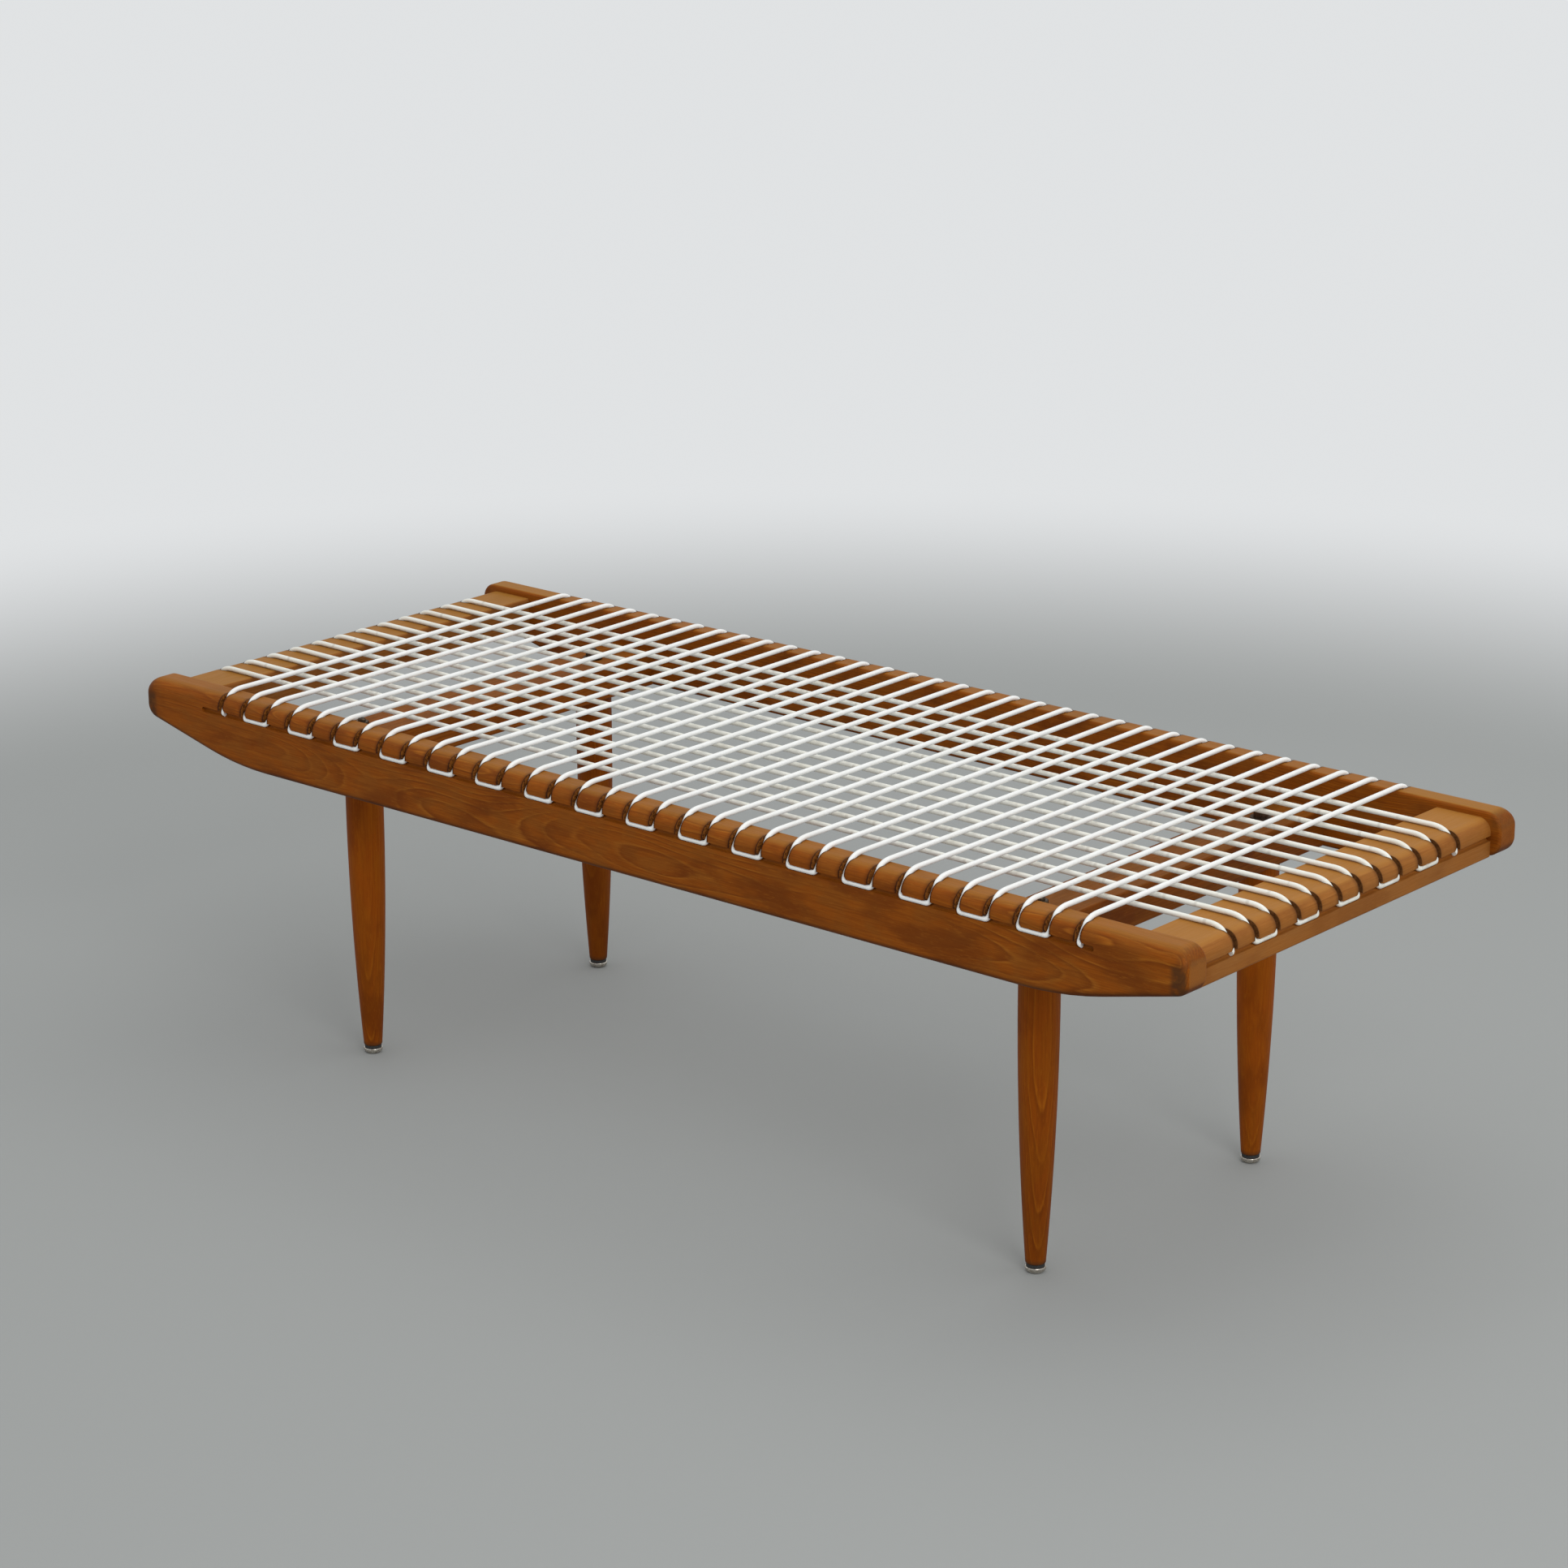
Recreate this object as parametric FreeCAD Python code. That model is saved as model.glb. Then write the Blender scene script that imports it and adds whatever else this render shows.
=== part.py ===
import FreeCAD, Part
import math
import os

from FreeCAD import Vector

# Sizes are in millimetres: +X runs along the bench, the front faces -Y and the floor is z = 0.

# Bench depth over the two side rails
BENCH_DEPTH = 512.0

# Side rails: boards on edge, tapered underneath towards both ends
RAIL_LENGTH = 1280.0
RAIL_THICKNESS = 30.0
RAIL_HEIGHT = 70.0
RAIL_END_HEIGHT = 39.0
RAIL_TAPER_LENGTH = 129.0
RAIL_TAPER_BLEND = 350.0
RAIL_END_TOP_ROUND = 16.0
RAIL_END_BOTTOM_ROUND = 15.0
RAIL_OUTER_ROUND = 7.0
RAIL_INNER_ROUND = 3.0

# Top edge that the cords go over, on side rails and end rails
CORDED_EDGE_ROUND = 12.5

# End rails: flat boards between the side rails
END_RAIL_WIDTH = 59.0
END_RAIL_THICKNESS = 36.5
END_RAIL_DROP = 6.5
END_RAIL_INSET = 10.0
BOARD_EDGE_ROUND = 2.5

# Stretchers: flat boards that carry the legs, flush with the undersides of the side rails
STRETCHER_WIDTH = 60.0
STRETCHER_THICKNESS = 36.5
STRETCHER_INSET = 218.4

# Dowels that join end rails and stretchers to the side rails
DOWEL_DIAMETER = 10.0
DOWEL_LENGTH = 44.0
DOWEL_DEPTH_IN_RAIL = 18.0
DOWEL_SPACING = 28.0
DOWEL_CLEARANCE = 0.1

# Legs: turned, straight at the top and then one long curve to the tip
LEG_INSET = 89.6
LEG_LENGTH = 295.5
LEG_DIAMETER = 37.5
LEG_STRAIGHT_LENGTH = 40.0
LEG_TIP_DIAMETER = 18.4
LEG_TIP_ROUND = 1.5

# Bolt, nut and washer that hold a leg to its stretcher
BOLT_DIAMETER = 8.0
BOLT_DEPTH_IN_LEG = 45.0
BOLT_END_ABOVE_NUT = 3.0
BOLT_END_CHAMFER = 1.0
BOLT_HOLE_CLEARANCE = 0.2
NUT_ACROSS_FLATS = 13.0
NUT_HEIGHT = 6.5
NUT_CHAMFER = 0.8
WASHER_DIAMETER = 20.0
WASHER_THICKNESS = 1.6

# Foot: a domed glide nailed into the leg through a cushion ring
GLIDE_DIAMETER = 19.0
GLIDE_HEIGHT = 5.5
GLIDE_DOME_ROUND = 4.0
GLIDE_RIM_ROUND = 0.8
NAIL_DIAMETER = 3.0
NAIL_DEPTH_IN_LEG = 20.0
CUSHION_DIAMETER = 17.0
CUSHION_HEIGHT = 3.0

# Cord and the kerfs and grooves that it is laced through
CORD_DIAMETER = 4.8
CORD_CLEARANCE = 0.1
CORD_BEND_RADIUS = 10.0
CORD_FOLD_RADIUS = 3.4
CORD_TAIL = 5.5
KERF_SIDE_CLEARANCE = 0.2
KERF_FLOOR_CLEARANCE = 0.5
KERF_SLOPE = math.radians(56)
GROOVE_DROP = 18.0
GROOVE_AXIS_DEPTH = 2.4
GROOVE_LEFT_RUN = 25.0
GROOVE_RIGHT_RUN = 15.0
FOLD_CHAMFER = 0.6
SIDE_KERF_COUNT = 34
SIDE_KERF_PITCH = 32.0
END_KERF_COUNT = 12
END_KERF_PITCH = 31.3

# How far a cutter reaches past the face that it cuts
OVERCUT = 1.0

# Heights and faces that follow from the sizes above
LEG_TIP = GLIDE_HEIGHT + CUSHION_HEIGHT
FRAME_BOTTOM = LEG_TIP + LEG_LENGTH
RAIL_TOP = FRAME_BOTTOM + RAIL_HEIGHT
RAIL_FACE = BENCH_DEPTH / 2
RAIL_INNER_FACE = RAIL_FACE - RAIL_THICKNESS
END_RAIL_TOP = RAIL_TOP - END_RAIL_DROP
END_RAIL_FACE = RAIL_LENGTH / 2 - END_RAIL_INSET
STRETCHER_AXIS = RAIL_LENGTH / 2 - STRETCHER_INSET
STRETCHER_TOP = FRAME_BOTTOM + STRETCHER_THICKNESS
LEG_AXIS = RAIL_FACE - LEG_INSET
WASHER_TOP = STRETCHER_TOP + WASHER_THICKNESS
NUT_TOP = WASHER_TOP + NUT_HEIGHT
KERF_WIDTH = CORD_DIAMETER + 2 * KERF_SIDE_CLEARANCE
KERF_FLOOR = CORD_DIAMETER / 2 + KERF_FLOOR_CLEARANCE
CORD_SEAT = CORD_DIAMETER / 2 + CORD_CLEARANCE

LEFT, RIGHT = -1, 1
FRONT, BACK = -1, 1


def evenly_spaced(count, pitch):
    """Positions of a row that is centred on zero."""
    return [pitch * (i - (count - 1) / 2) for i in range(count)]


SIDE_KERFS = evenly_spaced(SIDE_KERF_COUNT, SIDE_KERF_PITCH)
END_KERFS = evenly_spaced(END_KERF_COUNT, END_KERF_PITCH)


def rounded_wire(points, radii, closed):
    """Straight runs between the points, joined by tangent arcs of the given radii."""
    joints = []
    for i, (point, radius) in enumerate(zip(points, radii)):
        if radius == 0:
            joints.append((point, None, point))
            continue
        back = (points[i - 1] - point).normalize()
        ahead = (points[(i + 1) % len(points)] - point).normalize()
        half_angle = back.getAngle(ahead) / 2
        reach = radius / math.tan(half_angle)
        inwards = (back + ahead).normalize()
        middle = point + inwards * (radius / math.sin(half_angle) - radius)
        joints.append((point + back * reach, middle, point + ahead * reach))
    edges = []
    for i, (start, middle, end) in enumerate(joints):
        if middle:
            edges.append(Part.Arc(start, middle, end).toShape())
        if closed or i + 1 < len(joints):
            edges.append(Part.LineSegment(end, joints[(i + 1) % len(joints)][0]).toShape())
    return Part.Wire(edges)


def turned(corners, axis_x, axis_y):
    """Solid of revolution about an upright axis, from (radius, height, rounding) corners."""
    points = [Vector(radius, 0, height) for radius, height, rounding in corners]
    outline = rounded_wire(points, [rounding for radius, height, rounding in corners], True)
    solid = Part.Face(outline).revolve(Vector(0, 0, 0), Vector(0, 0, 1), 360)
    solid.translate(Vector(axis_x, axis_y, 0))
    return solid


def upright_hole(diameter, bottom, top, axis_x, axis_y):
    return Part.makeCylinder(diameter / 2, top - bottom, Vector(axis_x, axis_y, bottom))


def side_edge(side):
    """Position on a side rail: along it, in from its outer face and down from its top."""
    return lambda along, depth, drop: Vector(along, side * (RAIL_FACE - depth), RAIL_TOP - drop)


def end_edge(side):
    """Position on an end rail: along it, in from its outer face and down from its top."""
    return lambda along, depth, drop: Vector(side * (END_RAIL_FACE - depth), along, END_RAIL_TOP - drop)


def cord_bend_depth():
    """Distance in from the face at which the level cord would meet the sloping one."""
    return GROOVE_AXIS_DEPTH + (GROOVE_DROP + CORD_SEAT) / math.tan(KERF_SLOPE)


def kerf_cutter(at, along):
    """Saw cut for one cord: a short lead-in from the top and a slope down into the groove."""
    half_turn = math.tan(KERF_SLOPE / 2)
    reach = (CORD_BEND_RADIUS - KERF_FLOOR) * half_turn
    slope_depth = cord_bend_depth() + KERF_FLOOR * half_turn - reach * math.cos(KERF_SLOPE)
    slope_drop = KERF_FLOOR - CORD_SEAT + reach * math.sin(KERF_SLOPE)
    bottom_drop = GROOVE_DROP + CORD_DIAMETER / 2 - KERF_FLOOR_CLEARANCE
    profile = [
        (slope_depth + (slope_drop + OVERCUT) / half_turn, -OVERCUT),
        (slope_depth, slope_drop),
        (slope_depth - (bottom_drop - slope_drop) / math.tan(KERF_SLOPE), bottom_drop),
        (-OVERCUT, bottom_drop),
        (-OVERCUT, -OVERCUT),
    ]
    corners = [at(along - KERF_WIDTH / 2, depth, drop) for depth, drop in profile]
    width = at(along + KERF_WIDTH / 2, 0, 0) - at(along - KERF_WIDTH / 2, 0, 0)
    return Part.Face(Part.makePolygon(corners + corners[:1])).extrude(width)


def groove_cutter(at, start, end):
    """Half-round groove along the outer face."""
    upper_lip = at(start, -OVERCUT, GROOVE_DROP - CORD_SEAT)
    upper_wall = at(start, GROOVE_AXIS_DEPTH, GROOVE_DROP - CORD_SEAT)
    deepest = at(start, GROOVE_AXIS_DEPTH + CORD_SEAT, GROOVE_DROP)
    lower_wall = at(start, GROOVE_AXIS_DEPTH, GROOVE_DROP + CORD_SEAT)
    lower_lip = at(start, -OVERCUT, GROOVE_DROP + CORD_SEAT)
    outline = Part.Wire([
        Part.LineSegment(upper_lip, upper_wall).toShape(),
        Part.Arc(upper_wall, deepest, lower_wall).toShape(),
        Part.LineSegment(lower_wall, lower_lip).toShape(),
        Part.LineSegment(lower_lip, upper_lip).toShape(),
    ])
    return Part.Face(outline).extrude(at(end, 0, 0) - at(start, 0, 0))


def groove_end_cutter(at, along):
    """Round end that the cutter leaves where a groove stops."""
    centre = at(along, GROOVE_AXIS_DEPTH, GROOVE_DROP)
    outwards = at(along, -OVERCUT, GROOVE_DROP) - centre
    shank = Part.makeCylinder(CORD_SEAT, outwards.Length, centre, outwards)
    return shank.fuse(Part.makeSphere(CORD_SEAT, centre))


def fold_cutter(at, along, turn):
    """Chamfer on the tooth that a cord folds round, from the kerf at along into the groove."""
    run = math.cos(KERF_SLOPE)
    rise = math.sin(KERF_SLOPE)

    def on_slope(sideways, up, inwards):
        depth = GROOVE_AXIS_DEPTH + up * run + inwards * rise
        drop = GROOVE_DROP - up * rise + inwards * run
        return at(along + turn * sideways, depth, drop)

    outside = -(GROOVE_AXIS_DEPTH + CORD_FOLD_RADIUS + OVERCUT)
    wall = KERF_WIDTH / 2
    corners = [
        on_slope(wall - OVERCUT, 0, KERF_FLOOR),
        on_slope(wall + CORD_SEAT + FOLD_CHAMFER, 0, KERF_FLOOR),
        on_slope(wall - OVERCUT, CORD_SEAT + FOLD_CHAMFER + OVERCUT, KERF_FLOOR),
    ]
    through = on_slope(0, 0, outside) - on_slope(0, 0, KERF_FLOOR)
    return Part.Face(Part.makePolygon(corners + corners[:1])).extrude(through)


def tail_side_turns(count, first_tail, last_tail):
    """Way the cord turns at each kerf of the rail where both its ends are tucked in."""
    turns = [1 if i % 2 else -1 for i in range(count)]
    turns[0] = first_tail
    turns[-1] = last_tail
    return turns


def loop_side_turns(count):
    """Way the cord turns at each kerf of the opposite rail."""
    return [-1 if i % 2 else 1 for i in range(count)]


def cord_cutters(at, kerfs, turns):
    cutters = [kerf_cutter(at, along) for along in kerfs]
    cutters += [fold_cutter(at, along, turn) for along, turn in zip(kerfs, turns)]
    return cutters


def dowel_rows(board_axis, row_height):
    """Centre points, on the side rails' inner faces, of the dowels at one pair of boards."""
    points = []
    for board in (LEFT, RIGHT):
        for side in (FRONT, BACK):
            for offset in (-DOWEL_SPACING / 2, DOWEL_SPACING / 2):
                points.append(Vector(board * board_axis + offset, side * RAIL_INNER_FACE, row_height))
    return points


def end_rail_dowel_points():
    return dowel_rows(END_RAIL_FACE - END_RAIL_WIDTH / 2, END_RAIL_TOP - END_RAIL_THICKNESS / 2)


def stretcher_dowel_points():
    return dowel_rows(STRETCHER_AXIS, FRAME_BOTTOM + STRETCHER_THICKNESS / 2)


def dowel_rod(point, clearance):
    """Dowel across a joint, or with a clearance the hole that it is glued into."""
    outwards = math.copysign(1, point.y)
    start = point + Vector(0, outwards * (DOWEL_DEPTH_IN_RAIL + clearance), 0)
    length = DOWEL_LENGTH + 2 * clearance
    return Part.makeCylinder(DOWEL_DIAMETER / 2 + clearance, length, start, Vector(0, -outwards, 0))


def dowels(points):
    return Part.makeCompound([dowel_rod(point, 0) for point in points])


def dowel_holes():
    points = end_rail_dowel_points() + stretcher_dowel_points()
    return [dowel_rod(point, DOWEL_CLEARANCE) for point in points]


def touching(cutters, blank):
    """Those cutters whose boxes meet the blank."""
    return [cutter for cutter in cutters if cutter.BoundBox.intersect(blank.BoundBox)]


def rail_outline(y):
    end = RAIL_LENGTH / 2
    knee = end - RAIL_TAPER_LENGTH
    tip = RAIL_TOP - RAIL_END_HEIGHT
    corners = [
        (-end, RAIL_TOP, RAIL_END_TOP_ROUND),
        (end, RAIL_TOP, RAIL_END_TOP_ROUND),
        (end, tip, RAIL_END_BOTTOM_ROUND),
        (knee, FRAME_BOTTOM, RAIL_TAPER_BLEND),
        (-knee, FRAME_BOTTOM, RAIL_TAPER_BLEND),
        (-end, tip, RAIL_END_BOTTOM_ROUND),
    ]
    points = [Vector(x, y, z) for x, z, rounding in corners]
    return rounded_wire(points, [rounding for x, z, rounding in corners], True)


def rail_edge_rounding(edge, outer_y):
    """Start and end radius for one edge of the blank: wide on the corded edge, small elsewhere."""
    start, end = edge.Vertexes[0].Point, edge.Vertexes[-1].Point
    if abs(start.y - end.y) > 1:
        return None
    if abs(start.y - outer_y) > 1:
        return RAIL_INNER_ROUND, RAIL_INNER_ROUND
    at_top = [abs(point.z - RAIL_TOP) < 0.01 for point in (start, end)]
    return tuple(CORDED_EDGE_ROUND if top else RAIL_OUTER_ROUND for top in at_top)


def rail_blank(side):
    """Side rail with its edges rounded, before it is sawn for the cords."""
    document = FreeCAD.newDocument("rail")
    board = document.addObject("Part::Feature", "board")
    thickness = Vector(0, -side * RAIL_THICKNESS, 0)
    board.Shape = Part.Face(rail_outline(side * RAIL_FACE)).extrude(thickness)
    rounded = document.addObject("Part::Fillet", "rounded")
    rounded.Base = board
    edges = []
    for number, edge in enumerate(board.Shape.Edges, 1):
        radii = rail_edge_rounding(edge, side * RAIL_FACE)
        if radii:
            edges.append((number, *radii))
    rounded.Edges = edges
    document.recompute()
    blank = rounded.Shape.copy()
    FreeCAD.closeDocument(document.Name)
    return blank


def side_rail(side, turns):
    blank = rail_blank(side)
    at = side_edge(side)
    groove_start = SIDE_KERFS[0] - GROOVE_LEFT_RUN
    groove_end = SIDE_KERFS[-1] + GROOVE_RIGHT_RUN
    cutters = cord_cutters(at, SIDE_KERFS, turns)
    cutters.append(groove_cutter(at, groove_start, groove_end))
    cutters.append(groove_end_cutter(at, groove_start))
    cutters.append(groove_end_cutter(at, groove_end))
    cutters += touching(dowel_holes(), blank)
    return blank.cut(cutters)


def board_between_rails(section):
    """Board along Y between the side rails, from (x, z, rounding) corners of its section."""
    points = [Vector(x, -RAIL_INNER_FACE, z) for x, z, rounding in section]
    outline = rounded_wire(points, [rounding for x, z, rounding in section], True)
    return Part.Face(outline).extrude(Vector(0, 2 * RAIL_INNER_FACE, 0))


def end_rail(side, turns):
    outer = side * END_RAIL_FACE
    inner = side * (END_RAIL_FACE - END_RAIL_WIDTH)
    bottom = END_RAIL_TOP - END_RAIL_THICKNESS
    blank = board_between_rails([
        (outer, END_RAIL_TOP, CORDED_EDGE_ROUND),
        (inner, END_RAIL_TOP, BOARD_EDGE_ROUND),
        (inner, bottom, BOARD_EDGE_ROUND),
        (outer, bottom, BOARD_EDGE_ROUND),
    ])
    at = end_edge(side)
    cutters = cord_cutters(at, END_KERFS, turns)
    cutters.append(groove_cutter(at, -RAIL_INNER_FACE - OVERCUT, RAIL_INNER_FACE + OVERCUT))
    cutters += touching(dowel_holes(), blank)
    return blank.cut(cutters)


def stretcher(side):
    middle = side * STRETCHER_AXIS
    left = middle - STRETCHER_WIDTH / 2
    right = middle + STRETCHER_WIDTH / 2
    blank = board_between_rails([
        (left, FRAME_BOTTOM, BOARD_EDGE_ROUND),
        (right, FRAME_BOTTOM, BOARD_EDGE_ROUND),
        (right, STRETCHER_TOP, BOARD_EDGE_ROUND),
        (left, STRETCHER_TOP, BOARD_EDGE_ROUND),
    ])
    hole = BOLT_DIAMETER + 2 * BOLT_HOLE_CLEARANCE
    low, high = FRAME_BOTTOM - OVERCUT, STRETCHER_TOP + OVERCUT
    cutters = [upright_hole(hole, low, high, middle, y) for y in (-LEG_AXIS, LEG_AXIS)]
    cutters += touching(dowel_holes(), blank)
    return blank.cut(cutters)


def leg(axis_x, axis_y):
    """Turned leg with the holes for its bolt and its glide nail."""
    top_radius = LEG_DIAMETER / 2
    tip_radius = LEG_TIP_DIAMETER / 2
    shoulder = FRAME_BOTTOM - LEG_STRAIGHT_LENGTH
    taper_length = shoulder - LEG_TIP
    narrowing = top_radius - tip_radius
    curve = (taper_length ** 2 + narrowing ** 2) / (2 * narrowing)
    middle_radius = top_radius - curve + math.sqrt(curve ** 2 - (taper_length / 2) ** 2)
    outline = Part.Wire([
        Part.LineSegment(Vector(0, 0, FRAME_BOTTOM), Vector(top_radius, 0, FRAME_BOTTOM)).toShape(),
        Part.LineSegment(Vector(top_radius, 0, FRAME_BOTTOM), Vector(top_radius, 0, shoulder)).toShape(),
        Part.Arc(
            Vector(top_radius, 0, shoulder),
            Vector(middle_radius, 0, shoulder - taper_length / 2),
            Vector(tip_radius, 0, LEG_TIP),
        ).toShape(),
        Part.LineSegment(Vector(tip_radius, 0, LEG_TIP), Vector(0, 0, LEG_TIP)).toShape(),
        Part.LineSegment(Vector(0, 0, LEG_TIP), Vector(0, 0, FRAME_BOTTOM)).toShape(),
    ])
    solid = Part.Face(outline).revolve(Vector(0, 0, 0), Vector(0, 0, 1), 360)
    tip_edges = [edge for edge in solid.Edges if edge.BoundBox.ZMax < LEG_TIP + 0.01]
    solid = solid.makeFillet(LEG_TIP_ROUND, tip_edges)
    solid.translate(Vector(axis_x, axis_y, 0))
    bolt_bottom = FRAME_BOTTOM - BOLT_DEPTH_IN_LEG
    return solid.cut([
        upright_hole(BOLT_DIAMETER, bolt_bottom, FRAME_BOTTOM + OVERCUT, axis_x, axis_y),
        upright_hole(NAIL_DIAMETER, LEG_TIP - OVERCUT, LEG_TIP + NAIL_DEPTH_IN_LEG, axis_x, axis_y),
    ])


def bolt(axis_x, axis_y):
    radius = BOLT_DIAMETER / 2
    bottom = FRAME_BOTTOM - BOLT_DEPTH_IN_LEG
    top = NUT_TOP + BOLT_END_ABOVE_NUT
    return turned([
        (0, bottom, 0),
        (radius, bottom, 0),
        (radius, top - BOLT_END_CHAMFER, 0),
        (radius - BOLT_END_CHAMFER, top, 0),
        (0, top, 0),
    ], axis_x, axis_y)


def nut(axis_x, axis_y):
    corner = NUT_ACROSS_FLATS / math.sqrt(3)
    turns = [math.radians(60 * i) for i in range(7)]
    points = [Vector(corner * math.cos(a), corner * math.sin(a), WASHER_TOP) for a in turns]
    hexagon = Part.Face(Part.makePolygon(points)).extrude(Vector(0, 0, NUT_HEIGHT))
    hexagon.translate(Vector(axis_x, axis_y, 0))
    envelope = turned([
        (0, WASHER_TOP, 0),
        (corner, WASHER_TOP, 0),
        (corner, NUT_TOP - NUT_CHAMFER, 0),
        (NUT_ACROSS_FLATS / 2, NUT_TOP, 0),
        (0, NUT_TOP, 0),
    ], axis_x, axis_y)
    hole = upright_hole(BOLT_DIAMETER, WASHER_TOP - OVERCUT, NUT_TOP + OVERCUT, axis_x, axis_y)
    return hexagon.common(envelope).cut(hole)


def washer(axis_x, axis_y):
    disc = upright_hole(WASHER_DIAMETER, STRETCHER_TOP, WASHER_TOP, axis_x, axis_y)
    hole = BOLT_DIAMETER + 2 * BOLT_HOLE_CLEARANCE
    return disc.cut(upright_hole(hole, STRETCHER_TOP - OVERCUT, WASHER_TOP + OVERCUT, axis_x, axis_y))


def cushion(axis_x, axis_y):
    ring = upright_hole(CUSHION_DIAMETER, GLIDE_HEIGHT, LEG_TIP, axis_x, axis_y)
    return ring.cut(upright_hole(NAIL_DIAMETER, GLIDE_HEIGHT - OVERCUT, LEG_TIP + OVERCUT, axis_x, axis_y))


def glide(axis_x, axis_y):
    """Domed glide with the pointed nail that goes up into the leg."""
    radius = GLIDE_DIAMETER / 2
    shank = NAIL_DIAMETER / 2
    nail_top = LEG_TIP + NAIL_DEPTH_IN_LEG
    return turned([
        (0, 0, 0),
        (radius, 0, GLIDE_DOME_ROUND),
        (radius, GLIDE_HEIGHT, GLIDE_RIM_ROUND),
        (shank, GLIDE_HEIGHT, 0),
        (shank, nail_top - 2 * NAIL_DIAMETER, 0),
        (0, nail_top, 0),
    ], axis_x, axis_y)


LEG_AXES = {
    "front_left": (-STRETCHER_AXIS, -LEG_AXIS),
    "front_right": (STRETCHER_AXIS, -LEG_AXIS),
    "back_left": (-STRETCHER_AXIS, LEG_AXIS),
    "back_right": (STRETCHER_AXIS, LEG_AXIS),
}


def one_per_leg(make):
    return Part.makeCompound([make(x, y) for x, y in LEG_AXES.values()])


def laced_cord(kerfs, first_tail, last_tail, tail_edge, loop_edge):
    """One cord laced to and fro over two rails, with both ends tucked in at the same rail."""

    def fold(at, along):
        return at(along, GROOVE_AXIS_DEPTH, GROOVE_DROP)

    def bend(at, along):
        return at(along, cord_bend_depth(), -CORD_SEAT)

    points = [fold(tail_edge, kerfs[0] + first_tail * CORD_TAIL)]
    radii = [0]
    for i, along in enumerate(kerfs):
        start, end = (loop_edge, tail_edge) if i % 2 else (tail_edge, loop_edge)
        points += [fold(start, along), bend(start, along), bend(end, along), fold(end, along)]
        radii += [CORD_FOLD_RADIUS, CORD_BEND_RADIUS, CORD_BEND_RADIUS, CORD_FOLD_RADIUS]
    points.append(fold(tail_edge, kerfs[-1] + last_tail * CORD_TAIL))
    radii.append(0)
    route = rounded_wire(points, radii, False)
    section = Part.Circle(points[0], points[1] - points[0], CORD_DIAMETER / 2).toShape()
    return route.makePipeShell([Part.Wire([section])], True, False)


# Both layers: which way the two ends of the cord are tucked into the groove
CROSSWISE_TAILS = (RIGHT, RIGHT)
LENGTHWISE_TAILS = (FRONT, FRONT)

PIECES = {
    "side_rail_front": side_rail(FRONT, tail_side_turns(SIDE_KERF_COUNT, *CROSSWISE_TAILS)),
    "side_rail_back": side_rail(BACK, loop_side_turns(SIDE_KERF_COUNT)),
    "end_rail_left": end_rail(LEFT, loop_side_turns(END_KERF_COUNT)),
    "end_rail_right": end_rail(RIGHT, tail_side_turns(END_KERF_COUNT, *LENGTHWISE_TAILS)),
    "stretcher_left": stretcher(LEFT),
    "stretcher_right": stretcher(RIGHT),
    "leg_bolts": one_per_leg(bolt),
    "leg_nuts": one_per_leg(nut),
    "leg_washers": one_per_leg(washer),
    "end_rail_dowels": dowels(end_rail_dowel_points()),
    "stretcher_dowels": dowels(stretcher_dowel_points()),
    "crosswise_cord": laced_cord(SIDE_KERFS, *CROSSWISE_TAILS, side_edge(FRONT), side_edge(BACK)),
    "lengthwise_cord": laced_cord(END_KERFS, *LENGTHWISE_TAILS, end_edge(RIGHT), end_edge(LEFT)),
}
for place, (axis_x, axis_y) in LEG_AXES.items():
    PIECES["leg_" + place] = leg(axis_x, axis_y)
    PIECES["foot_cushion_" + place] = cushion(axis_x, axis_y)
    PIECES["foot_glide_" + place] = glide(axis_x, axis_y)

os.makedirs("parts", exist_ok=True)
for name, shape in PIECES.items():
    shape.exportStep("parts/" + name + ".step")
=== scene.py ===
import math
import random
from typing import NamedTuple

import bpy
from mathutils import Euler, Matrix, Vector


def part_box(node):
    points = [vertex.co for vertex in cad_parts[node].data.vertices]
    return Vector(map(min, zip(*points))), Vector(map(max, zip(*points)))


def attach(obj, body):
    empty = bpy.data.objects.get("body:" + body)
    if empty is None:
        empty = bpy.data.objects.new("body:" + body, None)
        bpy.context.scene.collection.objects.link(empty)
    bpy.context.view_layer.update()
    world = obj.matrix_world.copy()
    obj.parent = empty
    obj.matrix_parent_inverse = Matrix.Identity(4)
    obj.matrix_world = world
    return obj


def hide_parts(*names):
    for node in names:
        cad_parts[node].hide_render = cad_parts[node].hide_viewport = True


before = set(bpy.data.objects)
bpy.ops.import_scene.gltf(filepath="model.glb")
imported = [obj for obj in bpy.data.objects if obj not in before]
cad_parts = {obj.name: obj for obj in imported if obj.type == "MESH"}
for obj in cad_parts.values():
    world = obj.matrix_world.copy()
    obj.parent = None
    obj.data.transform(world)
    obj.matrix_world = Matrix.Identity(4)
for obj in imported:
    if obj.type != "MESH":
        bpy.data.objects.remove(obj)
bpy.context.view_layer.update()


class Tones(NamedTuple):
    """Linear colours of one wood: the brown itself, its dark bands, light ring lines and dull clouds."""

    brown: tuple
    dark: tuple
    line: tuple
    dull: tuple


class CordedEdge(NamedTuple):
    """A rail's row of kerfs: pitch, half lengths of row and groove, rim width, tone of the kerf walls."""

    pitch: float
    row_half: float
    groove_half: float
    rim: float
    wall: tuple


# Sizes are in metres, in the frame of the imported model: +X along the bench, front -Y, floor z = 0.
LEFT, RIGHT = -1, 1
FRONT, BACK = -1, 1
SIDE_NAMES = {FRONT: "front", BACK: "back"}
END_NAMES = {LEFT: "left", RIGHT: "right"}

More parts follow.
